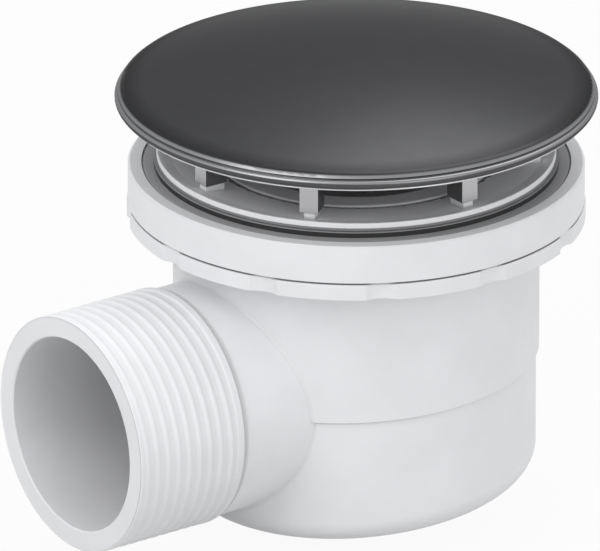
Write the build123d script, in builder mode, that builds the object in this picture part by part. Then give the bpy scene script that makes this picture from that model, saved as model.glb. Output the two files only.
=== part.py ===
from build123d import *
import os
from math import cos, radians, sin, sqrt, tan

# Shower trap, in millimetres. The waste's axis is Z, pointing up. The plane z = 0 is the top edge of the gasket
# collar, where the shower tray is clamped, and the outlet leaves along -X.

# Gasket collar
collar_d = 108.9
collar_wall = 3.25
collar_height = 9.7
collar_foot = 1.6
collar_chamfer = 0.5
shadow_gap_height = 0.5
shadow_gap_depth = 0.9

# Trap body
body_setback = 10.7
neck_wall = 2.85
neck_drop = 2.6
body_step = 0.75
step_drop = 48.25
step_slope = 2.7
floor_drop = 79.5
floor_slope = 4.9
floor_thickness = 2.5
floor_fillet = 5.6
chamber_chamfer = 1.8

# Grip ring round the body, with scallops for the hand
grip_overhang = 0.25
grip_thickness = 4.0
grip_chamfer = 0.25
scallop_count = 12
scallop_width = 7.6
scallop_depth = 1.2
scallop_edge_fillet = 1.2

# Outlet
outlet_drop = 50.0
outlet_bore_d = 47.4
branch_d = 56.0
branch_reach = 52.5
thread_length = 31.3
thread_crest_d = 57.7
thread_depth = 0.42
shoulder_width = 2.8
shoulder_slope = 1.4
mouth_chamfer = 0.3

# Weir wall inside the body, which keeps the water in the trap
water_seal = 50.0
weir_wall = 1.8
weir_channel = 4.5
weir_gap = 4.9
weir_half_angle = 48.0

# Gaskets
lower_gasket_side_room = 0.3
lower_gasket_lip_width = 2.6
lower_gasket_lip_fillet = 0.5
lower_gasket_lip_drop = 0.2
lower_gasket_groove = 1.6
lower_gasket_proud = 1.2
upper_gasket_setback = 0.6
upper_gasket_thickness = 0.8
upper_gasket_undercut = 0.5

# Waste flange
flange_setback = 0.1
flange_edge = 1.35
flange_edge_fillet = 0.3
dish_rim_width = 3.3
dish_rim_drop = 0.85
dish_drop = 0.8
sleeve_wall = 2.8
sleeve_drop = 10.0
recess_depth = 1.1
plate_thickness = 2.6
socket_wall = 2.0
socket_drop = 8.0
recess_notch_count = 60
recess_notch_width = 1.5
recess_notch_depth = 0.8

# Dip tube and its seal
tube_wall = 1.8
tube_floor_gap = 9.0
tube_rim_width = 2.6
tube_rim_thickness = 1.5
tube_rim_chamfer = 0.3
tube_collar_extra = 1.5
tube_collar_drop = 7.0
seal_groove_drop = 4.4
seal_groove_depth = 1.4
seal_side_room = 0.2
seal_nip = 0.05

# Cover: dome, rim and the legs of its carrier
cover_d = 115.1
cover_sheet = 1.5
cover_lip_setback = 1.85
cover_lip_width = 1.3
rim_neck_setback = 0.8
rim_height = 4.4
bead_low = 0.75
bead_height = 1.9
rim_groove = 0.25
dome_edge_setback = 2.35
dome_rise = 6.9
leg_length = 10.9
leg_setback = 2.6
leg_depth = 6.0
leg_width = 4.5
leg_bearings = (-1.3, 39.3, 90.4, 135.0)
rib_height = 1.8
rib_setback = 0.7
rib_length = 5.2
rib_width = 2.7
carrier_thickness = 1.8
carrier_bore_d = 74.0

# Clearances
thread_clearance = 0.3
seat_clearance = 0.3
glue_gap = 0.2

# Radii from the collar inwards: each piece stands inside its neighbour by a wall, a setback or a clearance
collar_r = collar_d / 2
collar_bore_r = collar_r - collar_wall
lip_r = collar_bore_r - lower_gasket_side_room
ridge_r = lip_r - lower_gasket_lip_width
upper_gasket_r = ridge_r - upper_gasket_setback
undercut_r = upper_gasket_r - upper_gasket_undercut
flange_r = upper_gasket_r - flange_setback
dish_knee_r = flange_r - dish_rim_width
leg_face_r = flange_r - leg_setback
body_r = collar_r - body_setback
collar_foot_r = body_r + seat_clearance
body_lower_r = body_r - body_step
chamber_r = body_r - neck_wall
sleeve_r = chamber_r - thread_clearance
sleeve_bore_r = sleeve_r - sleeve_wall
upper_gasket_bore_r = sleeve_r + seat_clearance
weir_outer_r = chamber_r - weir_channel
weir_r = weir_outer_r - weir_wall
tube_r = weir_r - weir_gap
tube_bore_r = tube_r - tube_wall
tube_collar_r = tube_r + tube_collar_extra
tube_rim_r = tube_collar_r + tube_rim_width
recess_r = tube_rim_r + seat_clearance
socket_r = tube_collar_r + seat_clearance

# Heights, up from the tray seat and down to the floor
flange_top = lower_gasket_proud + upper_gasket_thickness + flange_edge
knee_z = flange_top - dish_rim_drop
dish_edge_z = knee_z - dish_drop
recess_z = dish_edge_z - recess_depth
rib_top = knee_z + rib_height
cover_lip_z = rib_top + leg_length
tube_drop = floor_drop - floor_thickness - tube_floor_gap
weir_drop = tube_drop - water_seal


def dish_height(radius):
    """Height of the flange's upper side at a radius: a steep rim inside its edge, then the shallow dish."""
    if radius > dish_knee_r:
        return knee_z + dish_rim_drop * (radius - dish_knee_r) / (flange_r - dish_knee_r)
    return knee_z - dish_drop * (dish_knee_r - radius) / (dish_knee_r - recess_r)


def flange_under(radius):
    """Height of the flange's underside, where the upper gasket lies."""
    return dish_height(radius) - flange_edge


def flange_middle(radius):
    """Height half-way through the flange's plate, where the feet of its ribs end."""
    return dish_height(radius) - flange_edge / 2


def gasket_under(radius):
    """Height of the upper gasket's underside, where it lies on the lower gasket."""
    return flange_under(radius) - upper_gasket_thickness


def sloping_plane(drop, slope):
    """A plane through the axis below the tray seat that falls towards the outlet."""
    return Plane((0, 0, -drop), x_dir=(cos(radians(slope)), 0, sin(radians(slope))),
                 z_dir=(-sin(radians(slope)), 0, cos(radians(slope))))


def leg_locations(radius, bearing):
    """The two places, half a turn apart, of a leg or of the rib under it."""
    return PolarLocations(radius, 2, start_angle=bearing)


step_plane = sloping_plane(step_drop, step_slope)
floor_plane = sloping_plane(floor_drop, floor_slope)
inner_floor_plane = sloping_plane(floor_drop - floor_thickness, floor_slope)
outlet_plane = Plane((0, 0, -outlet_drop), x_dir=(0, -1, 0), z_dir=(-1, 0, 0))
body_depth = floor_drop + body_r * tan(radians(floor_slope)) + floor_thickness

os.makedirs("parts", exist_ok=True)

# Trap body: the pot below the step, with its sloping floor and rounded bottom edge
with BuildPart() as lower_pot:
    with BuildSketch(Plane.XY.offset(-step_drop / 2)):
        Circle(body_lower_r)
    extrude(amount=-body_depth)
    split(bisect_by=floor_plane, keep=Keep.TOP)
    fillet(lower_pot.faces().sort_by(Axis.Z)[0].edges(), radius=floor_fillet)

# The hollow inside the body: the weir wall is what this hollow leaves standing in front of the outlet
with BuildPart() as chamber:
    with BuildSketch(Plane.XY.offset(-neck_drop)):
        Circle(chamber_r)
    extrude(amount=-body_depth)
    split(bisect_by=inner_floor_plane, keep=Keep.TOP)
    chamfer(chamber.faces().sort_by(Axis.Z)[0].edges(), length=chamber_chamfer)
    with BuildSketch(Plane.XY.offset(-weir_drop)):
        Circle(weir_outer_r)
        Circle(weir_r, mode=Mode.SUBTRACT)
        with BuildLine():
            sector_reach = 2 * weir_outer_r
            Polyline((0, 0),
                     (-sector_reach * cos(radians(weir_half_angle)), sector_reach * sin(radians(weir_half_angle))),
                     (-sector_reach * cos(radians(weir_half_angle)), -sector_reach * sin(radians(weir_half_angle))),
                     close=True)
        make_face(mode=Mode.INTERSECT)
        for side in (-1, 1):
            with Locations(Location((0, 0), 180 + side * weir_half_angle)):
                with Locations(((weir_r + body_r) / 2, 0)):
                    Rectangle(body_r - weir_r, weir_wall)
    extrude(amount=-body_depth, mode=Mode.SUBTRACT)

# The outlet's bore, which stops at the weir wall
with BuildPart() as outlet_bore:
    with BuildSketch(outlet_plane):
        Circle(outlet_bore_d / 2)
    extrude(amount=branch_reach + thread_length)
    with BuildSketch(Plane.XY):
        Circle(weir_outer_r)
    extrude(amount=-body_depth, mode=Mode.SUBTRACT)

# Grip ring: a flat ring with scallops round its edge
grip_r = collar_r + grip_overhang
scallop_r = ((scallop_width / 2) ** 2 + scallop_depth ** 2) / (2 * scallop_depth)
with BuildPart() as grip_ring:
    with BuildSketch(Plane.XY.offset(-collar_height)):
        Circle(grip_r)
        with PolarLocations(grip_r - scallop_depth + scallop_r, scallop_count):
            Circle(scallop_r, mode=Mode.SUBTRACT)
        fillet(vertices(), radius=scallop_edge_fillet)
    extrude(amount=-grip_thickness)
    chamfer(grip_ring.faces().filter_by(Axis.Z).edges(), length=grip_chamfer)

# The whole body: its wall above and below the step, the grip ring and the outlet, less the hollows
with BuildPart() as trap_body:
    with BuildSketch(Plane.XY.offset(-neck_drop)):
        Circle(body_r)
    extrude(amount=-body_depth)
    split(bisect_by=step_plane, keep=Keep.TOP)
    add(lower_pot.part)
    add(grip_ring.part)
    with BuildSketch(outlet_plane):
        Circle(branch_d / 2)
    extrude(amount=branch_reach)
    with BuildSketch(outlet_plane.offset(branch_reach)):
        Circle(branch_d / 2)
    with BuildSketch(outlet_plane.offset(branch_reach + shoulder_slope)):
        Circle(thread_crest_d / 2)
    loft()
    with BuildSketch(outlet_plane.offset(branch_reach + shoulder_slope)):
        Circle(thread_crest_d / 2)
    extrude(amount=shoulder_width - shoulder_slope)
    with BuildSketch(outlet_plane.offset(branch_reach)):
        Circle(thread_crest_d / 2 - thread_depth)
    extrude(amount=thread_length)
    add(chamber.part, mode=Mode.SUBTRACT)
    add(outlet_bore.part, mode=Mode.SUBTRACT)
    chamfer(trap_body.faces().sort_by(Axis.X)[0].inner_wires()[0].edges(), length=mouth_chamfer)
trap_body.part.label = "trap_body"
export_step(trap_body.part, "parts/trap_body.step")

# Gasket collar: an L-shaped ring on the grip ring, with a thin shadow gap round its bottom edge
with BuildPart() as gasket_collar:
    with BuildSketch(Plane.XZ):
        with BuildLine():
            Polyline((collar_foot_r, -collar_height),
                     (collar_r - shadow_gap_depth, -collar_height),
                     (collar_r - shadow_gap_depth, -collar_height + shadow_gap_height),
                     (collar_r, -collar_height + shadow_gap_height),
                     (collar_r, -collar_chamfer),
                     (collar_r - collar_chamfer, 0),
                     (collar_bore_r, 0),
                     (collar_bore_r, -collar_height + collar_foot),
                     (collar_foot_r, -collar_height + collar_foot),
                     close=True)
        make_face()
    revolve(axis=Axis.Z)
gasket_collar.part.label = "gasket_collar"
export_step(gasket_collar.part, "parts/gasket_collar.step")

# Lower gasket: a tall ring on the collar's foot, with a ridge under the tray and a lip outside it
gasket_base_z = -collar_height + collar_foot
groove_z = -lower_gasket_lip_drop - lower_gasket_groove
with BuildPart() as lower_gasket:
    with BuildSketch(Plane.XZ):
        with BuildLine():
            Polyline((collar_foot_r, gasket_base_z),
                     (collar_bore_r - seat_clearance, gasket_base_z),
                     (collar_bore_r - seat_clearance, groove_z - lower_gasket_groove),
                     (ridge_r, groove_z),
                     (lip_r, -lower_gasket_lip_drop - lower_gasket_groove / 2),
                     (lip_r, -lower_gasket_lip_drop),
                     (ridge_r, -lower_gasket_lip_drop),
                     (ridge_r, lower_gasket_proud),
                     (undercut_r, gasket_under(undercut_r)),
                     (dish_knee_r, gasket_under(dish_knee_r)),
                     (collar_foot_r, gasket_under(collar_foot_r)),
                     close=True)
        make_face()
        fillet(vertices().sort_by_distance((lip_r, -lower_gasket_lip_drop))[0],
               radius=lower_gasket_lip_fillet)
    revolve(axis=Axis.Z)
lower_gasket.part.label = "lower_gasket"
export_step(lower_gasket.part, "parts/lower_gasket.step")

# Upper gasket: a thin dished washer under the flange's rim
with BuildPart() as upper_gasket:
    with BuildSketch(Plane.XZ):
        with BuildLine():
            Polyline((upper_gasket_bore_r, gasket_under(upper_gasket_bore_r)),
                     (dish_knee_r, gasket_under(dish_knee_r)),
                     (undercut_r, gasket_under(undercut_r)),
                     (upper_gasket_r, gasket_under(flange_r) + upper_gasket_undercut / 2),
                     (upper_gasket_r, flange_under(flange_r)),
                     (flange_r, flange_under(flange_r)),
                     (dish_knee_r, flange_under(dish_knee_r)),
                     (upper_gasket_bore_r, flange_under(upper_gasket_bore_r)),
                     close=True)
        make_face()
    revolve(axis=Axis.Z)
upper_gasket.part.label = "upper_gasket"
export_step(upper_gasket.part, "parts/upper_gasket.step")

# Waste flange: dished plate with a sleeve that screws into the neck and a socket for the dip tube
plate_under = dish_edge_z - plate_thickness
with BuildPart() as waste_flange:
    with BuildSketch(Plane.XY.offset(rib_top)):
        for bearing in leg_bearings:
            with leg_locations(leg_face_r - rib_setback - rib_length / 2, bearing):
                Rectangle(rib_length, rib_width)
    extrude(amount=-rib_top - sleeve_drop)
    with BuildSketch(Plane.XZ):
        with BuildLine():
            Polyline((0, rib_top),
                     (flange_r, rib_top),
                     (flange_r, flange_middle(flange_r)),
                     (dish_knee_r, flange_middle(dish_knee_r)),
                     (0, flange_middle(0)),
                     close=True)
        make_face()
    revolve(axis=Axis.Z, mode=Mode.INTERSECT)
    with BuildSketch(Plane.XZ):
        with BuildLine():
            Polyline((flange_r, flange_top),
                     (dish_knee_r, knee_z),
                     (recess_r, dish_edge_z),
                     (recess_r, recess_z),
                     (socket_r, recess_z),
                     (socket_r, -socket_drop),
                     (socket_r + socket_wall, -socket_drop),
                     (socket_r + socket_wall, plate_under),
                     (sleeve_bore_r, plate_under),
                     (sleeve_bore_r, -sleeve_drop),
                     (sleeve_r, -sleeve_drop),
                     (sleeve_r, flange_under(sleeve_r)),
                     (dish_knee_r, flange_under(dish_knee_r)),
                     (flange_r, flange_under(flange_r)),
                     close=True)
        make_face()
        fillet(vertices().sort_by(Axis.Y)[-1], radius=flange_edge_fillet)
    revolve(axis=Axis.Z)
    with BuildSketch(Plane.XY.offset(recess_z)):
        with PolarLocations(recess_r, recess_notch_count):
            Rectangle(2 * recess_notch_depth, recess_notch_width)
    extrude(amount=rib_top - recess_z, mode=Mode.SUBTRACT)
waste_flange.part.label = "waste_flange"
export_step(waste_flange.part, "parts/waste_flange.step")

# Dip tube: hangs by its rim in the flange's recess, with a thicker collar that carries the seal
tube_top = recess_z + tube_rim_thickness
groove_r = tube_collar_r - seal_groove_depth
seal_section_r = (socket_r - groove_r) / 2 - seal_nip
groove_half = seal_section_r + seal_side_room
with BuildPart() as dip_tube:
    with BuildSketch(Plane.XZ):
        with BuildLine():
            Polyline((tube_bore_r, tube_top - tube_rim_chamfer),
                     (tube_bore_r + tube_rim_chamfer, tube_top),
                     (tube_rim_r - tube_rim_chamfer, tube_top),
                     (tube_rim_r, tube_top - tube_rim_chamfer),
                     (tube_rim_r, recess_z),
                     (tube_collar_r, recess_z),
                     (tube_collar_r, -seal_groove_drop + groove_half),
                     (groove_r, -seal_groove_drop + groove_half),
                     (groove_r, -seal_groove_drop - groove_half),
                     (tube_collar_r, -seal_groove_drop - groove_half),
                     (tube_collar_r, -tube_collar_drop),
                     (tube_r, -tube_collar_drop - tube_collar_extra),
                     (tube_r, -tube_drop),
                     (tube_bore_r, -tube_drop),
                     close=True)
        make_face()
    revolve(axis=Axis.Z)
dip_tube.part.label = "dip_tube"
export_step(dip_tube.part, "parts/dip_tube.step")

# O-ring in the dip tube's groove
with BuildPart() as dip_tube_seal:
    with BuildSketch(Plane.XZ):
        with Locations(((socket_r + groove_r) / 2, -seal_groove_drop)):
            Circle(seal_section_r)
    revolve(axis=Axis.Z)
dip_tube_seal.part.label = "dip_tube_seal"
export_step(dip_tube_seal.part, "parts/dip_tube_seal.step")

# Dome of the cover: part of a sphere, with a rounded shoulder, a thin groove, a bead and a bottom lip
cover_r = cover_d / 2
cover_lip_r = cover_r - cover_lip_setback
rim_neck_r = cover_r - rim_neck_setback
rim_bore_r = cover_lip_r - cover_lip_width
dome_edge_r = cover_r - dome_edge_setback
dome_r = (dome_edge_r ** 2 + dome_rise ** 2) / (2 * dome_rise)
dome_centre_z = cover_lip_z + rim_height + dome_rise - dome_r
dome_inner_r = dome_r - cover_sheet


def dome_point(sphere_r, radius):
    """A point at a radius from the axis, on one of the dome's concentric spheres."""
    return (radius, dome_centre_z + sqrt(sphere_r ** 2 - radius ** 2))


bead_bottom = cover_lip_z + bead_low
bead_top = bead_bottom + bead_height
with BuildPart() as dome_cover:
    with BuildSketch(Plane.XZ):
        with BuildLine():
            dome = ThreePointArc(dome_point(dome_r, 0), dome_point(dome_r, dome_edge_r / 2),
                                 dome_point(dome_r, dome_edge_r))
            shoulder = TangentArc(dome @ 1, (rim_neck_r, bead_top + 2 * rim_groove), tangent=dome % 1)
            Polyline(shoulder @ 1, (rim_neck_r - rim_groove, bead_top + rim_groove), (rim_neck_r, bead_top))
            ThreePointArc((rim_neck_r, bead_top), (cover_r, (bead_top + bead_bottom) / 2),
                          (rim_neck_r, bead_bottom))
            Polyline((rim_neck_r, bead_bottom), (cover_lip_r, cover_lip_z), (rim_bore_r, cover_lip_z),
                     dome_point(dome_inner_r, rim_bore_r))
            ThreePointArc(dome_point(dome_inner_r, rim_bore_r), dome_point(dome_inner_r, rim_bore_r / 2),
                          dome_point(dome_inner_r, 0))
            Line(dome_point(dome_inner_r, 0), dome_point(dome_r, 0))
        make_face()
    revolve(axis=Axis.Z)
dome_cover.part.label = "dome_cover"
export_step(dome_cover.part, "parts/dome_cover.step")

# Carrier: a ring under the dome, and the legs that stand on the flange's ribs
carrier_top_r = dome_inner_r - glue_gap
carrier_under_r = carrier_top_r - carrier_thickness
carrier_r = rim_bore_r - seat_clearance
carrier_bore_r = carrier_bore_d / 2
with BuildPart() as cover_carrier:
    with BuildSketch(Plane.XY.offset(rib_top)):
        for bearing in leg_bearings:
            with leg_locations(leg_face_r - leg_depth / 2, bearing):
                Rectangle(leg_depth, leg_width)
    extrude(amount=leg_length + rim_height + dome_rise)
    with BuildSketch(Plane.XZ):
        with BuildLine():
            ThreePointArc(dome_point(carrier_top_r, 0), dome_point(carrier_top_r, carrier_r / 2),
                          dome_point(carrier_top_r, carrier_r))
            Polyline(dome_point(carrier_top_r, carrier_r), (carrier_r, rib_top), (0, rib_top),
                     dome_point(carrier_top_r, 0))
        make_face()
    revolve(axis=Axis.Z, mode=Mode.INTERSECT)
    with BuildSketch(Plane.XZ):
        with BuildLine():
            ThreePointArc(dome_point(carrier_top_r, carrier_bore_r), dome_point(carrier_top_r, leg_face_r),
                          dome_point(carrier_top_r, carrier_r))
            Line(dome_point(carrier_top_r, carrier_r), dome_point(carrier_under_r, carrier_r))
            ThreePointArc(dome_point(carrier_under_r, carrier_r), dome_point(carrier_under_r, leg_face_r),
                          dome_point(carrier_under_r, carrier_bore_r))
            Line(dome_point(carrier_under_r, carrier_bore_r), dome_point(carrier_top_r, carrier_bore_r))
        make_face()
    revolve(axis=Axis.Z)
cover_carrier.part.label = "cover_carrier"
export_step(cover_carrier.part, "parts/cover_carrier.step")
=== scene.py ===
"""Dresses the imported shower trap: four thin pieces over its solids, the finishes, and the stage."""

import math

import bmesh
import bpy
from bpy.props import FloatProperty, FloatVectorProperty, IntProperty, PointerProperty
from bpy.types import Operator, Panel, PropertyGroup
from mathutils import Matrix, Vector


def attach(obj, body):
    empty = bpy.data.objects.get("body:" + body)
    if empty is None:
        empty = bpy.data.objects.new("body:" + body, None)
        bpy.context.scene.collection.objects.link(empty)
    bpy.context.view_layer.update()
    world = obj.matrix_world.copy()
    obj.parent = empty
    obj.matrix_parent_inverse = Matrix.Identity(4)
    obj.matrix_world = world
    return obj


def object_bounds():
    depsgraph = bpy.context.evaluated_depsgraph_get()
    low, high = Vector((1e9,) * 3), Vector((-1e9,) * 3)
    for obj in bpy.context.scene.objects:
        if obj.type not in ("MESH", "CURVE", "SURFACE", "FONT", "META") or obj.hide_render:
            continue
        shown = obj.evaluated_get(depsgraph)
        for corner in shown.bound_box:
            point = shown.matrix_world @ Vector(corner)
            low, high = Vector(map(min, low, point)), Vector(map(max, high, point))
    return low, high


bl_info = {
    "name": "Shower Trap Dressing",
    "version": (1, 0, 0),
    "blender": (4, 5, 0),
    "location": "3D View > Sidebar > Shower Trap",
    "description": "Adds the thread, fillet, hem, gasket edge and finishes of a shower trap",
    "category": "Object",
}

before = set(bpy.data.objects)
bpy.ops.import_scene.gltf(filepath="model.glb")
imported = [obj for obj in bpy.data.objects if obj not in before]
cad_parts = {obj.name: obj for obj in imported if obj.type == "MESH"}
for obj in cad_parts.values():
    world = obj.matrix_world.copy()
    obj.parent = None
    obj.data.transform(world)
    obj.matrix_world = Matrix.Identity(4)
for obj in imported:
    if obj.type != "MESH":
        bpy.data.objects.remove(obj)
CAD_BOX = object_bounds()
MM = 0.001
PHOTO_WIDTH = 600
PHOTO_HEIGHT = 551
SENSOR_WIDTH = 36.0
CLIP_FACTOR = 3
SHARP_ANGLE = math.radians(35)
ACROSS_WASTE = (1.0, 1.0, 0.0)
ACROSS_OUTLET = (0.0, 1.0, 1.0)
RIDGE_SHARPNESS = 2

# Each surface: its roughness, the noise scale of its grain and the strength of the grain's relief.
MOULDED_PLASTIC = {"roughness": 0.44, "grain": 1500, "bump": 0.12}
TUBE_PLASTIC = {"roughness": 0.45, "grain": 1500, "bump": 0.15}
SOFT_RUBBER = {"roughness": 0.55, "grain": 2500, "bump": 0.3}
LEG_STEEL = {"roughness": 0.32, "grain": 1500, "bump": 0.02, "metallic": 1.0}
HEM_STEEL = {"roughness": 0.30, "grain": 4000, "bump": 0.06, "metallic": 1.0}
# The cover's steel mirrors less than the others where it is seen at a flat angle.
COVER_STEEL = {"roughness": 0.32, "grain": 4000, "bump": 0.04, "metallic": 1.0, "edge": 0.52}

# What all surfaces share: gloss, and how the mottle and the grain vary it and the colour.
SPECULAR_LEVEL = 0.3
GRAIN_DETAIL = 4.0
GRAIN_HEIGHT = 0.02 * MM
GLOSS_SPREAD = 0.03
MOTTLE_SCALE = 0.05
MOTTLE_DETAIL = 3.0
MOTTLE_LOW = 0.3
MOTTLE_HIGH = 0.7
MOTTLE_DARK = 0.97
MOTTLE_LIGHT = 1.02

# How much a leg's face looks away from the waste's axis: a side up to the first, a front from the second.
# Sides get painted shade.
SIDE_FACING = 0.3
FRONT_FACING = 0.8

# Heights on the dome's rim in millimetres, each with the share of the steel's colour there: a polished rim
# lighter than the satin dome, with painted highlights and painted shade in bands.
RIM_LOW = 15.2
RIM_HIGH = 20.6
RIM_BANDS = (
    # Bottom edge with a painted highlight, and the face above it in painted shade
    (15.2, 0.8), (15.7, 0.6), (16.0, 0.25), (17.15, 0.22),
    # Two painted highlight lines with a groove of painted shade between them
    (17.35, 0.75), (17.8, 0.75), (17.9, 0.3), (18.3, 0.3), (18.4, 0.75), (18.85, 0.75),
    # Dome, with painted shade that is darkest at its edge
    (19.15, 0.12), (19.65, 0.12), (20.1, 0.155), (20.55, 0.19),
)


class TrapThread(PropertyGroup):
    """Sizes of the outlet's thread."""
    axis_z: FloatProperty(
        name="Outlet Height", description="Height of the outlet's axis over the tray seat",
        default=-50.0 * MM, unit="LENGTH")
    start_x: FloatProperty(
        name="Thread Start",
        description="Where the thread's sleeve begins, just inside the shoulder, along X",
        default=-55.2 * MM, unit="LENGTH")
    end_x: FloatProperty(
        name="Thread End", description="Where the thread's sleeve ends at the outlet's mouth, along X",
        default=-83.78 * MM, unit="LENGTH")
    crest_r: FloatProperty(
        name="Crest Radius", description="Radius over the thread's crests",
        default=28.84 * MM, unit="LENGTH")
    depth: FloatProperty(
        name="Thread Depth", description="How far the valleys lie below the crests next to the shoulder",
        default=0.36 * MM, unit="LENGTH")
    mouth_share: FloatProperty(
        name="Depth at Mouth", description="Share of the depth that is left at the mouth",
        default=0.7, min=0.0, max=1.0, subtype="FACTOR")
    pitch: FloatProperty(
        name="Pitch", description="How far one turn moves along the outlet",
        default=3.04 * MM, unit="LENGTH")
    phase: FloatProperty(
        name="Start Angle", description="Where round the outlet the first ridge leaves the shoulder",
        default=0.0, subtype="ANGLE")
    run_in: FloatProperty(
        name="Run In", description="Length over which the ridges rise next to the shoulder",
        default=0.6 * MM, unit="LENGTH")
    run_out: FloatProperty(
        name="Run Out", description="Length over which the ridges fade before the mouth's bevel",
        default=2.0 * MM, unit="LENGTH")
    mouth_r: FloatProperty(
        name="Mouth Radius", description="Outer radius of the outlet's end face",
        default=28.65 * MM, unit="LENGTH")
    inner_r: FloatProperty(
        name="Inner Radius", description="Radius where the sleeve ends, inside the outlet's own wall",
        default=27.8 * MM, unit="LENGTH")
    inner_setback: FloatProperty(
        name="Inner Setback", description="How far the sleeve's inner edge stands back from the mouth",
        default=0.3 * MM, unit="LENGTH")
    segments: IntProperty(
        name="Segments", description="Steps round the outlet", default=288, min=32)
    steps_per_turn: IntProperty(
        name="Steps per Turn", description="Steps along one turn of the thread", default=16, min=6)


class TrapFillet(PropertyGroup):
    """Sizes of the fillet between the outlet's branch and the body."""
    branch_r: FloatProperty(
        name="Branch Radius", description="Outer radius of the outlet's branch",
        default=28.0 * MM, unit="LENGTH")
    upper_r: FloatProperty(
        name="Upper Body Radius", description="Radius of the body above its step",
        default=43.75 * MM, unit="LENGTH")
    lower_r: FloatProperty(
        name="Lower Body Radius", description="Radius of the body below its step",
        default=43.0 * MM, unit="LENGTH")
    fillet_r: FloatProperty(
        name="Fillet Radius", description="Radius of the hollow between branch and body",
        default=0.7 * MM, unit="LENGTH")
    sunk: FloatProperty(
        name="Sunk Edge", description="How deep the fillet's edges lie inside the branch and the body",
        default=0.05 * MM, unit="LENGTH")
    half_angle: FloatProperty(
        name="Half Angle", description="How far the fillet goes to each side of the branch's top and bottom",
        default=math.radians(88.0), subtype="ANGLE")
    steps: IntProperty(name="Steps", description="Steps along each half of the fillet", default=96, min=12)
    arc_steps: IntProperty(name="Arc Steps", description="Steps across the fillet", default=6, min=2)


class TrapHem(PropertyGroup):
    """Sizes of the rolled hem round the dome's bottom edge."""
    centre_r: FloatProperty(
        name="Hem Radius", description="Radius of the circle that the hem follows",
        default=55.75 * MM, unit="LENGTH")
    centre_z: FloatProperty(
        name="Hem Height", description="Height of that circle over the tray seat",
        default=15.2 * MM, unit="LENGTH")
    roll_r: FloatProperty(
        name="Roll Radius", description="Radius of the roll itself", default=0.26 * MM, unit="LENGTH")
    segments: IntProperty(name="Segments", description="Steps round the dome", default=256, min=32)
    roll_steps: IntProperty(name="Roll Steps", description="Steps round the roll", default=12, min=6)


class TrapGasketEdge(PropertyGroup):
    """Sizes of the thin edge by which the lower gasket touches the collar."""
    inner_r: FloatProperty(
        name="Inner Radius", description="Radius inside the gasket's lip", default=50.6 * MM, unit="LENGTH")
    outer_r: FloatProperty(
        name="Outer Radius", description="Radius at the collar's wall", default=51.22 * MM, unit="LENGTH")
    top_z: FloatProperty(
        name="Edge Height", description="Height of the edge's upper side over the tray seat",
        default=-0.35 * MM, unit="LENGTH")
    thickness: FloatProperty(
        name="Edge Thickness", description="Thickness of the edge", default=0.1 * MM, unit="LENGTH")
    segments: IntProperty(name="Segments", description="Steps round the gasket", default=256, min=32)


class TrapFinish(PropertyGroup):
    """Colours of the trap's finishes, as linear values."""
    white: FloatVectorProperty(
        name="White Plastic", description="Moulded body, collar, fillet and thread",
        default=(0.80, 0.80, 0.81), subtype="COLOR", size=3, min=0.0, max=1.0)
    # Painted light: the flange is the same white plastic as the rest, made lighter to offset the shade under
    # the dome.
    flange: FloatVectorProperty(
        name="Flange", description="Brighter plastic of the waste flange",
        default=(0.92, 0.92, 0.93), subtype="COLOR", size=3, min=0.0, max=1.0)
    # The rim and dome shares of the cover's colour hold painted highlights and painted shade.
    cover: FloatVectorProperty(
        name="Cover", description="Steel of the cover, of which the rim and the dome keep a share each",
        default=(0.42, 0.42, 0.43), subtype="COLOR", size=3, min=0.0, max=1.0)
    hem: FloatVectorProperty(
        name="Hem", description="Polished steel of the dome's hem",
        default=(0.66, 0.66, 0.67), subtype="COLOR", size=3, min=0.0, max=1.0)
    carrier: FloatVectorProperty(
        name="Carrier", description="Steel of the legs under the dome",
        default=(0.48, 0.48, 0.49), subtype="COLOR", size=3, min=0.0, max=1.0)
    insert: FloatVectorProperty(
        name="Insert", description="Plastic of the dip tube",
        default=(0.80, 0.80, 0.81), subtype="COLOR", size=3, min=0.0, max=1.0)
    rubber: FloatVectorProperty(
        name="Rubber", description="Lower gasket",
        default=(0.37, 0.37, 0.375), subtype="COLOR", size=3, min=0.0, max=1.0)
    dark_rubber: FloatVectorProperty(
        name="Dark Rubber", description="Upper gasket, seal and the lower gasket's edge",
        default=(0.25, 0.25, 0.255), subtype="COLOR", size=3, min=0.0, max=1.0)


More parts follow.
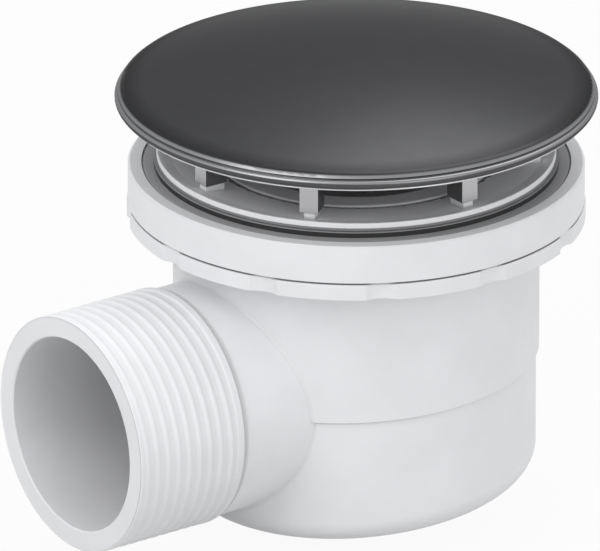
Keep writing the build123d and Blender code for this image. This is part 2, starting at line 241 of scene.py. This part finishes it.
class TrapPaintedShade(PropertyGroup):
    """Places where the finishes carry painted shade and painted highlights, and the share of the colour that
    they keep there.
    """
    # Painted shade deep in the gaps and inner corners of the white plastic.
    crevice_shade_reach: FloatProperty(
        name="Crevice Reach", description="Width of the gaps and inner corners that darken in white plastic",
        default=0.8 * MM, unit="LENGTH")
    crevice_shade_share: FloatProperty(
        name="Crevice Share", description="Share of the colour deep in a gap",
        default=0.35, min=0.0, max=1.0, subtype="FACTOR")
    # Painted shade in the outlet's bore, darker with its depth.
    bore_r: FloatProperty(
        name="Bore Radius", description="Radius that takes in the wall of the outlet's bore",
        default=24.2 * MM, unit="LENGTH")
    bore_end_x: FloatProperty(
        name="Bore End", description="A place just outside the outlet's mouth, along X",
        default=-84.0 * MM, unit="LENGTH")
    bore_light_x: FloatProperty(
        name="Light Bore", description="Where the bore has its full colour, along X",
        default=-83.8 * MM, unit="LENGTH")
    bore_dark_x: FloatProperty(
        name="Dark Bore", description="Where the bore is darkest, along X",
        default=-58.0 * MM, unit="LENGTH")
    bore_shade_share: FloatProperty(
        name="Bore Share", description="Share of the colour deep in the bore",
        default=0.78, min=0.0, max=1.0, subtype="FACTOR")
    # Painted shade on the slope behind the thread's shoulder.
    slope_inner_r: FloatProperty(
        name="Slope Inner Radius", description="Radius where the slope behind the thread's shoulder begins",
        default=27.9 * MM, unit="LENGTH")
    slope_outer_r: FloatProperty(
        name="Slope Outer Radius", description="Radius where that slope ends",
        default=29.0 * MM, unit="LENGTH")
    slope_thread_x: FloatProperty(
        name="Slope at Thread", description="End of the slope next to the thread, along X",
        default=-53.85 * MM, unit="LENGTH")
    slope_body_x: FloatProperty(
        name="Slope at Body", description="End of the slope next to the body, along X",
        default=-52.55 * MM, unit="LENGTH")
    slope_shade_share: FloatProperty(
        name="Slope Share", description="Share of the colour on the slope",
        default=0.75, min=0.0, max=1.0, subtype="FACTOR")
    # Painted shade in the seat of the insert's rim.
    seat_inner_r: FloatProperty(
        name="Seat Inner Radius", description="Radius where the insert's rim begins to darken",
        default=33.6 * MM, unit="LENGTH")
    seat_joint_r: FloatProperty(
        name="Seat Joint Radius", description="Radius where the insert's rim ends and its seat begins",
        default=34.0 * MM, unit="LENGTH")
    seat_outer_r: FloatProperty(
        name="Seat Outer Radius", description="Radius where the seat in the flange ends",
        default=34.95 * MM, unit="LENGTH")
    seat_low_z: FloatProperty(
        name="Seat Bottom", description="Lowest height of that shade over the tray seat",
        default=0.5 * MM, unit="LENGTH")
    seat_high_z: FloatProperty(
        name="Seat Top", description="Greatest height of that shade over the tray seat",
        default=1.75 * MM, unit="LENGTH")
    seat_shade_share: FloatProperty(
        name="Seat Share", description="Share of the colour in the seat",
        default=0.42, min=0.0, max=1.0, subtype="FACTOR")
    # Painted shade in the groove round the lower gasket.
    groove_low_z: FloatProperty(
        name="Groove Bottom", description="Height where the lower gasket's groove begins",
        default=-0.15 * MM, unit="LENGTH")
    groove_high_z: FloatProperty(
        name="Groove Top", description="Height where that groove ends",
        default=1.08 * MM, unit="LENGTH")
    groove_shade_share: FloatProperty(
        name="Groove Share", description="Share of the colour in the groove",
        default=0.09, min=0.0, max=1.0, subtype="FACTOR")
    # Painted shade on the sides of the legs.
    leg_side_shade_share: FloatProperty(
        name="Side Share", description="Share of the colour on the sides of the legs",
        default=0.5, min=0.0, max=1.0, subtype="FACTOR")
    # Painted shade in the thread's valleys and painted light on its crests.
    valley_shade_share: FloatProperty(
        name="Valley Share", description="Share of the colour in the thread's valleys",
        default=0.97, min=0.0, max=2.0, subtype="FACTOR")
    crest_light_share: FloatProperty(
        name="Crest Share", description="Share of the colour on the thread's crests",
        default=1.04, min=0.0, max=2.0, subtype="FACTOR")


class TrapStage(PropertyGroup):
    """The stage's lamps, its plain surroundings and its floor."""
    overhead_side: FloatVectorProperty(
        name="Overhead Side", description="Where the overhead lamp stands: right, front and up",
        default=(0.24, -0.38, 0.91), size=3, subtype="XYZ")
    overhead_distance: FloatProperty(
        name="Overhead Distance", description="How far the overhead lamp stands from the trap",
        default=1.0, min=0.0, unit="LENGTH")
    overhead_size: FloatProperty(
        name="Overhead Size", description="Side of the overhead lamp", default=0.75, min=0.0, unit="LENGTH")
    overhead_power: FloatProperty(
        name="Overhead Lamp", description="Soft lamp over the trap, which the front of the dome mirrors",
        default=3.5, min=0.0, unit="POWER")
    key_side: FloatVectorProperty(
        name="Key Side", description="Where the key lamp stands: right, front and up",
        default=(-0.6, 0.62, 0.8), size=3, subtype="XYZ")
    key_distance: FloatProperty(
        name="Key Distance", description="How far the key lamp stands from the trap",
        default=1.1, min=0.0, unit="LENGTH")
    key_size: FloatProperty(
        name="Key Size", description="Side of the key lamp", default=0.7, min=0.0, unit="LENGTH")
    key_power: FloatProperty(
        name="Key Lamp", description="Lamp to the front left", default=3.6, min=0.0, unit="POWER")
    fill_side: FloatVectorProperty(
        name="Fill Side", description="Where the fill lamp stands: right, front and up",
        default=(0.5, 0.8, 0.28), size=3, subtype="XYZ")
    fill_distance: FloatProperty(
        name="Fill Distance", description="How far the fill lamp stands from the trap",
        default=1.1, min=0.0, unit="LENGTH")
    fill_size: FloatProperty(
        name="Fill Size", description="Side of the fill lamp", default=0.6, min=0.0, unit="LENGTH")
    fill_power: FloatProperty(
        name="Fill Lamp", description="Lamp to the front right", default=1.7, min=0.0, unit="POWER")
    world_colour: FloatVectorProperty(
        name="Surroundings Colour", description="Slightly cool colour of the light from all round",
        default=(0.97, 0.98, 1.0), subtype="COLOR", size=3, min=0.0, max=1.0)
    world_level: FloatProperty(
        name="Surroundings", description="Level of the even light from all round", default=0.79, min=0.0)
    floor_size: FloatProperty(
        name="Floor Size", description="Side of the floor", default=6.0, min=0.0, unit="LENGTH")
    floor_gap: FloatProperty(
        name="Floor Gap", description="How far the floor lies below the trap",
        default=6.0 * MM, min=0.0, unit="LENGTH")
    floor_grey: FloatProperty(
        name="Floor Grey", description="Level of the floor's own grey, which lights the trap from below",
        default=0.58, min=0.0, max=1.0, subtype="FACTOR")
    floor_white: FloatProperty(
        name="Floor White", description="Share of plain white in the floor that the camera sees",
        default=0.94, min=0.0, max=1.0, subtype="FACTOR")


class TrapView(PropertyGroup):
    """The camera's place."""
    azimuth: FloatProperty(
        name="Azimuth", description="Bearing of the camera: 0 looks along +Y",
        default=math.radians(-36.1), subtype="ANGLE")
    elevation: FloatProperty(
        name="Elevation", description="Angle of the camera over the horizon",
        default=math.radians(22.5), subtype="ANGLE")
    pixels_per_mm: FloatProperty(
        name="Pixels per Millimetre", description="Scale of the picture at the trap's axis", default=4.2)
    origin_px: FloatVectorProperty(
        name="Origin in Picture", description="Pixel of the tray seat's centre",
        default=(356.3, 160.3), size=2)
    lens: FloatProperty(
        name="Lens", description="Focal length: long, because the picture has hardly any perspective",
        default=1300.0, unit="CAMERA")


def value_node(tree, kind, **inputs):
    """Adds a shader node and sets its inputs by name."""
    node = tree.nodes.new(kind)
    for name, value in inputs.items():
        node.inputs[name.replace("_", " ")].default_value = value
    return node


def vector_math(tree, operation, value):
    """Adds a node that works on a vector, which comes from a socket."""
    node = tree.nodes.new("ShaderNodeVectorMath")
    node.operation = operation
    tree.links.new(value, node.inputs[0])
    return node


def number_math(tree, operation, value):
    """Adds a node that works on a number, which comes from a socket."""
    node = tree.nodes.new("ShaderNodeMath")
    node.operation = operation
    tree.links.new(value, node.inputs[0])
    return node


def share_between(tree, value, low, high, first, last):
    """Goes from one share to another as a value goes from low to high."""
    level = value_node(tree, "ShaderNodeMapRange", From_Min=low, From_Max=high, To_Min=first, To_Max=last)
    tree.links.new(value, level.inputs["Value"])
    return level.outputs["Result"]


def grained_finish(name, colour, roughness, grain, bump, metallic=0.0, edge=1.0):
    """A moulded or satin surface: a slight mottle in the colour, and a fine grain in gloss and relief."""
    material = bpy.data.materials.new(name)
    material.use_nodes = True
    tree = material.node_tree
    shader = tree.nodes["Principled BSDF"]
    shader.inputs["Specular IOR Level"].default_value = SPECULAR_LEVEL
    shader.inputs["Metallic"].default_value = metallic
    shader.inputs["Specular Tint"].default_value = (edge, edge, edge, 1.0)
    place = tree.nodes.new("ShaderNodeTexCoord")
    mottle = value_node(tree, "ShaderNodeTexNoise", Scale=grain * MOTTLE_SCALE, Detail=MOTTLE_DETAIL)
    fine = value_node(tree, "ShaderNodeTexNoise", Scale=grain, Detail=GRAIN_DETAIL)
    tree.links.new(place.outputs["Object"], mottle.inputs["Vector"])
    tree.links.new(place.outputs["Object"], fine.inputs["Vector"])
    tint = tree.nodes.new("ShaderNodeValToRGB")
    dark, light = tint.color_ramp.elements
    dark.position = MOTTLE_LOW
    dark.color = (*[MOTTLE_DARK * channel for channel in colour], 1.0)
    light.position = MOTTLE_HIGH
    light.color = (*[min(1.0, MOTTLE_LIGHT * channel) for channel in colour], 1.0)
    tree.links.new(mottle.outputs["Fac"], tint.inputs["Fac"])
    tree.links.new(tint.outputs["Color"], shader.inputs["Base Color"])
    gloss = share_between(tree, fine.outputs["Fac"], 0.0, 1.0,
                          roughness - GLOSS_SPREAD, roughness + GLOSS_SPREAD)
    tree.links.new(gloss, shader.inputs["Roughness"])
    relief = value_node(tree, "ShaderNodeBump", Strength=bump, Distance=GRAIN_HEIGHT)
    tree.links.new(fine.outputs["Fac"], relief.inputs["Height"])
    tree.links.new(relief.outputs["Normal"], shader.inputs["Normal"])
    return material


def scale_colour(material, share):
    """Multiplies a finish's colour by the value of a socket."""
    tree = material.node_tree
    shader = tree.nodes["Principled BSDF"]
    colour = shader.inputs["Base Color"].links[0].from_socket
    scale = vector_math(tree, "SCALE", colour)
    tree.links.new(share, scale.inputs["Scale"])
    tree.links.new(scale.outputs["Vector"], shader.inputs["Base Color"])


def place_value(tree, axis):
    """One coordinate of the surface's place in the frame."""
    place = tree.nodes.new("ShaderNodeTexCoord")
    axes = tree.nodes.new("ShaderNodeSeparateXYZ")
    tree.links.new(place.outputs["Object"], axes.inputs["Vector"])
    return axes.outputs[axis]


def axis_distance(tree, across, start=(0.0, 0.0, 0.0)):
    """Distance from an axis through start: across is 0 along the axis and 1 in the other directions."""
    place = tree.nodes.new("ShaderNodeTexCoord")
    offset = vector_math(tree, "SUBTRACT", place.outputs["Object"])
    offset.inputs[1].default_value = start
    flat = vector_math(tree, "MULTIPLY", offset.outputs["Vector"])
    flat.inputs[1].default_value = across
    length = vector_math(tree, "LENGTH", flat.outputs["Vector"])
    return length.outputs["Value"]


def between(tree, value, low, high):
    """1 where a value lies between two others, and 0 elsewhere."""
    inside = number_math(tree, "COMPARE", value)
    inside.inputs[1].default_value = (low + high) / 2
    inside.inputs[2].default_value = (high - low) / 2
    return inside.outputs["Value"]


def both(tree, first, second):
    """1 where two masks are both 1."""
    product = number_math(tree, "MULTIPLY", first)
    tree.links.new(second, product.inputs[1])
    return product.outputs["Value"]


def paint_shade_where(material, mask, share):
    """Paints shade: leaves only a share of a finish's colour where a mask is 1."""
    scale_colour(material, share_between(material.node_tree, mask, 0.0, 1.0, 1.0, share))


def paint_crevice_shade(material, reach, share):
    """Paints shade deep in narrow gaps and inner corners: leaves only a share of a finish's colour there."""
    tree = material.node_tree
    openness = value_node(tree, "ShaderNodeAmbientOcclusion", Distance=reach)
    scale_colour(material, share_between(tree, openness.outputs["AO"], 0.0, 1.0, share, 1.0))


def paint_leg_side_shade(material, share):
    """Paints shade on the legs' sides: leaves only a share of a finish's colour on faces that don't look
    away from the waste's axis.
    """
    tree = material.node_tree
    place = tree.nodes.new("ShaderNodeTexCoord")
    flat = vector_math(tree, "MULTIPLY", place.outputs["Object"])
    flat.inputs[1].default_value = ACROSS_WASTE
    outwards = vector_math(tree, "NORMALIZE", flat.outputs["Vector"])
    facing = vector_math(tree, "DOT_PRODUCT", outwards.outputs["Vector"])
    tree.links.new(place.outputs["Normal"], facing.inputs[1])
    size = number_math(tree, "ABSOLUTE", facing.outputs["Value"])
    scale_colour(material, share_between(tree, size.outputs["Value"], SIDE_FACING, FRONT_FACING, share, 1.0))


def rim_polish_and_painted_light(material):
    """Gives the cover's steel the bands of its rim, by height: a polished rim, with painted highlights and
    painted shade.
    """
    tree = material.node_tree
    ramp = tree.nodes.new("ShaderNodeValToRGB")
    elements = ramp.color_ramp.elements
    while len(elements) < len(RIM_BANDS):
        elements.new(0.5)
    for element, (height, share) in zip(elements, RIM_BANDS):
        element.position = (height - RIM_LOW) / (RIM_HIGH - RIM_LOW)
        element.color = (share, share, share, 1.0)
    rise = share_between(tree, place_value(tree, "Z"), RIM_LOW * MM, RIM_HIGH * MM, 0.0, 1.0)
    tree.links.new(rise, ramp.inputs["Fac"])
    scale_colour(material, ramp.outputs["Color"])


def paint_outlet_shade(material, shade, axis_z):
    """Paints shade in the outlet's bore, darker with its depth, and on the slope behind the thread's
    shoulder.
    """
    tree = material.node_tree
    radius = axis_distance(tree, ACROSS_OUTLET, (0.0, 0.0, axis_z))
    along = place_value(tree, "X")
    bore = both(tree, between(tree, radius, 0.0, shade.bore_r), between(tree, along, shade.bore_end_x, 0.0))
    depth = share_between(tree, along, shade.bore_light_x, shade.bore_dark_x, 1.0, shade.bore_shade_share)
    level = value_node(tree, "ShaderNodeMapRange", To_Min=1.0)
    tree.links.new(bore, level.inputs["Value"])
    tree.links.new(depth, level.inputs["To Max"])
    scale_colour(material, level.outputs["Result"])
    slope = both(tree, between(tree, radius, shade.slope_inner_r, shade.slope_outer_r),
                 between(tree, along, shade.slope_thread_x, shade.slope_body_x))
    paint_shade_where(material, slope, shade.slope_shade_share)


def paint_seat_shade(material, shade, inner_r, outer_r):
    """Paints shade in the seat of the insert's rim in the flange, between two radii."""
    tree = material.node_tree
    ring = between(tree, axis_distance(tree, ACROSS_WASTE), inner_r, outer_r)
    height = between(tree, place_value(tree, "Z"), shade.seat_low_z, shade.seat_high_z)
    paint_shade_where(material, both(tree, ring, height), shade.seat_shade_share)


def paint_groove_shade(material, shade):
    """Paints shade in the groove round the lower gasket."""
    tree = material.node_tree
    groove = between(tree, place_value(tree, "Z"), shade.groove_low_z, shade.groove_high_z)
    paint_shade_where(material, groove, shade.groove_shade_share)


def paint_thread_light_and_shade(material, shade, thread):
    """Paints light on the thread's crests and shade in its valleys, so that the crests are a little lighter.
    """
    tree = material.node_tree
    radius = axis_distance(tree, ACROSS_OUTLET, (0.0, 0.0, thread.axis_z))
    root_r = thread.crest_r - thread.depth
    level = share_between(tree, radius, root_r, thread.crest_r, shade.valley_shade_share, shade.crest_light_share)
    scale_colour(material, level)


def white_plastic(name, colour, shade):
    """Moulded plastic with painted shade deep in its gaps and inner corners."""
    plastic = grained_finish(name, colour, **MOULDED_PLASTIC)
    paint_crevice_shade(plastic, shade.crevice_shade_reach, shade.crevice_shade_share)
    return plastic


def made_finish(name):
    """A finish that an earlier step made."""
    material = bpy.data.materials.get(name)
    if material is None:
        raise RuntimeError(f"The finish {name} isn't made yet: the solids are finished first")
    return material


def finish_node(node, material):
    """Gives one of the frame's solids its finish."""
    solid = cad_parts.get(node)
    if solid is None:
        raise RuntimeError(f"The frame has no solid named {node}")
    solid.data.materials.clear()
    solid.data.materials.append(material)


def new_piece(name, bm, material):
    """Links a new piece of the trap, with its finish, and lets it go with the body."""
    bmesh.ops.recalc_face_normals(bm, faces=bm.faces)
    mesh = bpy.data.meshes.new(name)
    bm.to_mesh(mesh)
    bm.free()
    mesh.shade_smooth()
    mesh.set_sharp_from_angle(angle=SHARP_ANGLE)
    mesh.materials.append(material)
    piece = bpy.data.objects.new(name, mesh)
    bpy.context.scene.collection.objects.link(piece)
    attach(piece, "root")


def join_rings(bm, rings, closed=True):
    """Joins each ring of corners to the next, and the last to the first where the row of rings is closed."""
    following = rings[1:] + rings[:1] if closed else rings[1:]
    for first, second in zip(rings, following):
        for place in range(len(first)):
            after = (place + 1) % len(first)
            bm.faces.new((first[place], first[after], second[after], second[place]))


def turn_section(bm, section, segments):
    """Turns a closed section of radii and heights round the waste's axis."""
    rings = []
    for step in range(segments):
        angle = math.tau * step / segments
        rings.append([bm.verts.new((radius * math.cos(angle), radius * math.sin(angle), height))
                      for radius, height in section])
    join_rings(bm, rings)


def smooth_step(value):
    """Goes gently from 0 to 1."""
    value = max(0.0, min(1.0, value))
    return value * value * (3 - 2 * value)


def thread_radius(thread, along, turn):
    """Radius of the thread at a distance from its start and a share of a turn, with the mouth's bevel."""
    length = thread.start_x - thread.end_x
    from_mouth = length - along
    bevel = thread.crest_r - thread.mouth_r
    share = 1.0 + (thread.mouth_share - 1.0) * along / length
    fade = smooth_step(along / thread.run_in) * smooth_step((from_mouth - bevel) / thread.run_out)
    phase = along / thread.pitch - turn - thread.phase / math.tau
    ridge = (0.5 + 0.5 * math.cos(math.tau * phase)) ** RIDGE_SHARPNESS
    ridged = thread.crest_r - thread.depth * share * fade * (1.0 - ridge)
    return min(ridged, thread.mouth_r + from_mouth)


def outlet_ring(bm, x, axis_z, radii):
    """A ring of corners round the outlet's axis, with a radius for each step of the turn."""
    corners = []
    for step, radius in enumerate(radii):
        angle = math.tau * step / len(radii)
        corners.append(bm.verts.new((x, radius * math.sin(angle), axis_z + radius * math.cos(angle))))
    return corners


def fillet_section(sizes, axis_z, body_r, angle):
    """Section of the fillet at an angle round the branch: its hollow, and its edges sunk in the walls."""
    off_branch = Vector((0, math.sin(angle), math.cos(angle)))
    y = sizes.branch_r * math.sin(angle)
    corner = Vector((-math.sqrt(body_r ** 2 - y ** 2), y, axis_z + sizes.branch_r * math.cos(angle)))
    off_body = Vector((corner.x, corner.y, 0)) / body_r
    opening = off_body.dot(off_branch)
    spread = math.acos(opening)
    centre = corner + (off_body + off_branch) * sizes.fillet_r / (1 + opening)
    section = [centre - off_body * (sizes.fillet_r + sizes.sunk)]
    for arc in range(sizes.arc_steps + 1):
        share = arc / sizes.arc_steps
        towards = (off_body * math.sin((1 - share) * spread)
                   + off_branch * math.sin(share * spread)) / math.sin(spread)
        section.append(centre - towards * sizes.fillet_r)
    section.append(centre - off_branch * (sizes.fillet_r + sizes.sunk))
    section.append(corner - (off_body + off_branch) * sizes.fillet_r)
    return section


class TRAP_OT_finishes(Operator):
    """Gives each solid of the trap its finish"""
    bl_idname = "trap.finishes"
    bl_label = "Finish the Solids"

    def execute(self, context):
        colours = context.scene.trap_finish
        shade = context.scene.trap_shade
        white = white_plastic("white plastic", colours.white, shade)
        # The flange's lighter copy of the white plastic is painted light against the shade under the dome.
        flange = white_plastic("flange plastic", colours.flange, shade)
        body = white_plastic("body plastic", colours.white, shade)
        paint_outlet_shade(body, shade, context.scene.trap_thread.axis_z)
        cover = grained_finish("cover steel", colours.cover, **COVER_STEEL)
        rim_polish_and_painted_light(cover)
        carrier = grained_finish("carrier steel", colours.carrier, **LEG_STEEL)
        paint_leg_side_shade(carrier, shade.leg_side_shade_share)
        insert = grained_finish("insert plastic", colours.insert, **TUBE_PLASTIC)
        paint_seat_shade(insert, shade, shade.seat_inner_r, shade.seat_joint_r)
        paint_seat_shade(flange, shade, shade.seat_joint_r, shade.seat_outer_r)
        rubber = grained_finish("seal rubber", colours.dark_rubber, **SOFT_RUBBER)
        ridge_rubber = grained_finish("ridge rubber", colours.rubber, **SOFT_RUBBER)
        paint_groove_shade(ridge_rubber, shade)
        finish_node("trap_body", body)
        finish_node("gasket_collar", white)
        finish_node("waste_flange", flange)
        finish_node("dome_cover", cover)
        finish_node("cover_carrier", carrier)
        finish_node("dip_tube", insert)
        finish_node("upper_gasket", rubber)
        finish_node("dip_tube_seal", rubber)
        finish_node("lower_gasket", ridge_rubber)
        return {"FINISHED"}


class TRAP_OT_thread(Operator):
    """Cuts the thread of the outlet, as a sleeve of soft ridges round its plain wall"""
    bl_idname = "trap.thread"
    bl_label = "Outlet Thread"

    def execute(self, context):
        thread = context.scene.trap_thread
        length = thread.start_x - thread.end_x
        rows = int(round(length / thread.pitch * thread.steps_per_turn))
        turns = [step / thread.segments for step in range(thread.segments)]
        bm = bmesh.new()
        rings = []
        for row in range(rows + 1):
            along = length * row / rows
            radii = [thread_radius(thread, along, turn) for turn in turns]
            rings.append(outlet_ring(bm, thread.start_x - along, thread.axis_z, radii))
        inner_radii = [thread.inner_r] * thread.segments
        rings.append(outlet_ring(bm, thread.end_x + thread.inner_setback, thread.axis_z, inner_radii))
        rings.append(outlet_ring(bm, thread.start_x, thread.axis_z, inner_radii))
        join_rings(bm, rings)
        plastic = grained_finish("thread plastic", context.scene.trap_finish.white, **MOULDED_PLASTIC)
        paint_thread_light_and_shade(plastic, context.scene.trap_shade, thread)
        new_piece("outlet_thread", bm, plastic)
        return {"FINISHED"}


class TRAP_OT_fillet(Operator):
    """Rounds out the corner between the outlet's branch and the body, above and below the body's step"""
    bl_idname = "trap.fillet"
    bl_label = "Branch Fillet"

    def execute(self, context):
        sizes = context.scene.trap_fillet
        axis_z = context.scene.trap_thread.axis_z
        bm = bmesh.new()
        for body_r, middle in ((sizes.upper_r, 0.0), (sizes.lower_r, math.pi)):
            sections = []
            for step in range(sizes.steps + 1):
                angle = middle + sizes.half_angle * (2 * step / sizes.steps - 1)
                section = fillet_section(sizes, axis_z, body_r, angle)
                sections.append([bm.verts.new(point) for point in section])
            join_rings(bm, sections, closed=False)
            bm.faces.new(sections[0])
            bm.faces.new(reversed(sections[-1]))
        new_piece("branch_fillet", bm, made_finish("white plastic"))
        return {"FINISHED"}


class TRAP_OT_hem(Operator):
    """Rolls a thin bright hem round the dome's bottom edge"""
    bl_idname = "trap.hem"
    bl_label = "Dome Hem"

    def execute(self, context):
        hem = context.scene.trap_hem
        rolls = [math.tau * step / hem.roll_steps for step in range(hem.roll_steps)]
        section = [(hem.centre_r + hem.roll_r * math.cos(roll), hem.centre_z + hem.roll_r * math.sin(roll))
                   for roll in rolls]
        bm = bmesh.new()
        turn_section(bm, section, hem.segments)
        steel = grained_finish("hem steel", context.scene.trap_finish.hem, **HEM_STEEL)
        new_piece("dome_hem", bm, steel)
        return {"FINISHED"}


class TRAP_OT_gasket_edge(Operator):
    """Closes the narrow gap between the lower gasket's lip and the collar with a thin rubber edge"""
    bl_idname = "trap.gasket_edge"
    bl_label = "Gasket Edge"

    def execute(self, context):
        edge = context.scene.trap_gasket_edge
        under_z = edge.top_z - edge.thickness
        section = [(edge.inner_r, edge.top_z), (edge.outer_r, edge.top_z),
                   (edge.outer_r, under_z), (edge.inner_r, under_z)]
        bm = bmesh.new()
        turn_section(bm, section, edge.segments)
        new_piece("gasket_edge", bm, made_finish("seal rubber"))
        return {"FINISHED"}


def floor_finish(grey, white_share):
    """A white floor that keeps a faint shadow of the trap, and lights the trap only by what falls on it."""
    material = bpy.data.materials.new("studio floor")
    material.use_nodes = True
    tree = material.node_tree
    tree.nodes.clear()
    output = tree.nodes.new("ShaderNodeOutputMaterial")
    path = tree.nodes.new("ShaderNodeLightPath")
    matt = value_node(tree, "ShaderNodeBsdfDiffuse", Color=(grey, grey, grey, 1.0))
    glow = value_node(tree, "ShaderNodeEmission", Color=(1.0, 1.0, 1.0, 1.0), Strength=1.0)
    seen = path.outputs["Is Camera Ray"]
    for other in ("Is Glossy Ray", "Is Transmission Ray"):
        either = number_math(tree, "MAXIMUM", seen)
        tree.links.new(path.outputs[other], either.inputs[1])
        seen = either.outputs["Value"]
    share = number_math(tree, "MULTIPLY", seen)
    share.inputs[1].default_value = white_share
    choose = tree.nodes.new("ShaderNodeMixShader")
    tree.links.new(share.outputs["Value"], choose.inputs["Fac"])
    tree.links.new(matt.outputs["BSDF"], choose.inputs[1])
    tree.links.new(glow.outputs["Emission"], choose.inputs[2])
    tree.links.new(choose.outputs["Shader"], output.inputs["Surface"])
    return material


def lay_floor(context, stage):
    """A wide floor a little below the trap."""
    height = CAD_BOX[0].z - stage.floor_gap
    bpy.ops.mesh.primitive_plane_add(size=stage.floor_size, location=(0, 0, height))
    floor = context.object
    floor.name = "studio_floor"
    floor.data.materials.append(floor_finish(stage.floor_grey, stage.floor_white))


def plain_world(colour, level):
    """Even light from all round."""
    world = bpy.data.worlds.new("studio")
    bpy.context.scene.world = world
    world.use_nodes = True
    background = world.node_tree.nodes["Background"]
    background.inputs["Color"].default_value = (*colour, 1.0)
    background.inputs["Strength"].default_value = level


def picture_directions(azimuth):
    """What is right, front and up in the picture."""
    right = Vector((math.cos(azimuth), math.sin(azimuth), 0))
    front = Vector((math.sin(azimuth), -math.cos(azimuth), 0))
    rise = Vector((0, 0, 1))
    return right, front, rise


def area_light(name, directions, side, distance, size, power):
    """A soft square lamp that faces the trap's middle from one side of the picture."""
    data = bpy.data.lights.new(name, "AREA")
    data.shape = "SQUARE"
    data.size = size
    data.energy = power
    lamp = bpy.data.objects.new(name, data)
    bpy.context.scene.collection.objects.link(lamp)
    right, front, rise = directions
    low, high = CAD_BOX
    direction = right * side[0] + front * side[1] + rise * side[2]
    lamp.location = (low + high) / 2 + direction.normalized() * distance
    lamp.rotation_mode = "QUATERNION"
    lamp.rotation_quaternion = (-direction).to_track_quat("-Z", "Y")


def photo_camera(context, view):
    """A camera that shows the tray seat's centre at its pixel of the picture."""
    right, front, rise = picture_directions(view.azimuth)
    up = rise * math.cos(view.elevation) - front * math.sin(view.elevation)
    back = front * math.cos(view.elevation) + rise * math.sin(view.elevation)
    scale = MM / view.pixels_per_mm
    target = (right * (PHOTO_WIDTH / 2 - view.origin_px[0]) * scale
              + up * (view.origin_px[1] - PHOTO_HEIGHT / 2) * scale)
    data = bpy.data.cameras.new("photo_camera")
    data.lens = view.lens
    data.sensor_width = SENSOR_WIDTH
    distance = PHOTO_WIDTH * scale * data.lens / data.sensor_width
    data.clip_end = distance * CLIP_FACTOR
    camera = bpy.data.objects.new("photo_camera", data)
    context.scene.collection.objects.link(camera)
    camera.location = target + back * distance
    camera.rotation_mode = "QUATERNION"
    camera.rotation_quaternion = (-back).to_track_quat("-Z", "Y")
    context.scene.camera = camera


class TRAP_OT_stage(Operator):
    """Sets the floor, the soft lamps, the plain world and the camera"""
    bl_idname = "trap.stage"
    bl_label = "Stage and Camera"

    def execute(self, context):
        view = context.scene.trap_view
        stage = context.scene.trap_stage
        lay_floor(context, stage)
        plain_world(stage.world_colour, stage.world_level)
        directions = picture_directions(view.azimuth)
        area_light("overhead", directions, stage.overhead_side,
                   stage.overhead_distance, stage.overhead_size, stage.overhead_power)
        area_light("key", directions, stage.key_side, stage.key_distance, stage.key_size, stage.key_power)
        area_light("fill", directions, stage.fill_side,
                   stage.fill_distance, stage.fill_size, stage.fill_power)
        photo_camera(context, view)
        context.scene.view_settings.view_transform = "Standard"
        return {"FINISHED"}


class TRAP_PT_panel(Panel):
    """Lists the trap's steps and their sizes and colours"""
    bl_idname = "TRAP_PT_panel"
    bl_label = "Shower Trap"
    bl_space_type = "VIEW_3D"
    bl_region_type = "UI"
    bl_category = "Shower Trap"

    def draw(self, context):
        layout = self.layout
        for operator in OPERATORS:
            layout.operator(operator.bl_idname)
        for name, group in GROUPS.items():
            box = layout.box()
            settings = getattr(context.scene, name)
            for setting in group.__annotations__:
                box.prop(settings, setting)


GROUPS = {
    "trap_thread": TrapThread,
    "trap_fillet": TrapFillet,
    "trap_hem": TrapHem,
    "trap_gasket_edge": TrapGasketEdge,
    "trap_finish": TrapFinish,
    "trap_shade": TrapPaintedShade,
    "trap_stage": TrapStage,
    "trap_view": TrapView,
}
OPERATORS = (
    TRAP_OT_finishes,
    TRAP_OT_thread,
    TRAP_OT_fillet,
    TRAP_OT_hem,
    TRAP_OT_gasket_edge,
    TRAP_OT_stage,
)


def register():
    """Registers the sizes, the steps and the panel."""
    for name, group in GROUPS.items():
        bpy.utils.register_class(group)
        setattr(bpy.types.Scene, name, PointerProperty(type=group))
    for operator in OPERATORS:
        bpy.utils.register_class(operator)
    bpy.utils.register_class(TRAP_PT_panel)


def unregister():
    """Takes them away again, in the other order."""
    bpy.utils.unregister_class(TRAP_PT_panel)
    for operator in reversed(OPERATORS):
        bpy.utils.unregister_class(operator)
    for name, group in reversed(GROUPS.items()):
        delattr(bpy.types.Scene, name)
        bpy.utils.unregister_class(group)


def main():
    """Runs the steps in order."""
    register()
    bpy.ops.trap.finishes()
    bpy.ops.trap.thread()
    bpy.ops.trap.fillet()
    bpy.ops.trap.hem()
    bpy.ops.trap.gasket_edge()
    bpy.ops.trap.stage()


if __name__ == "__main__":
    main()
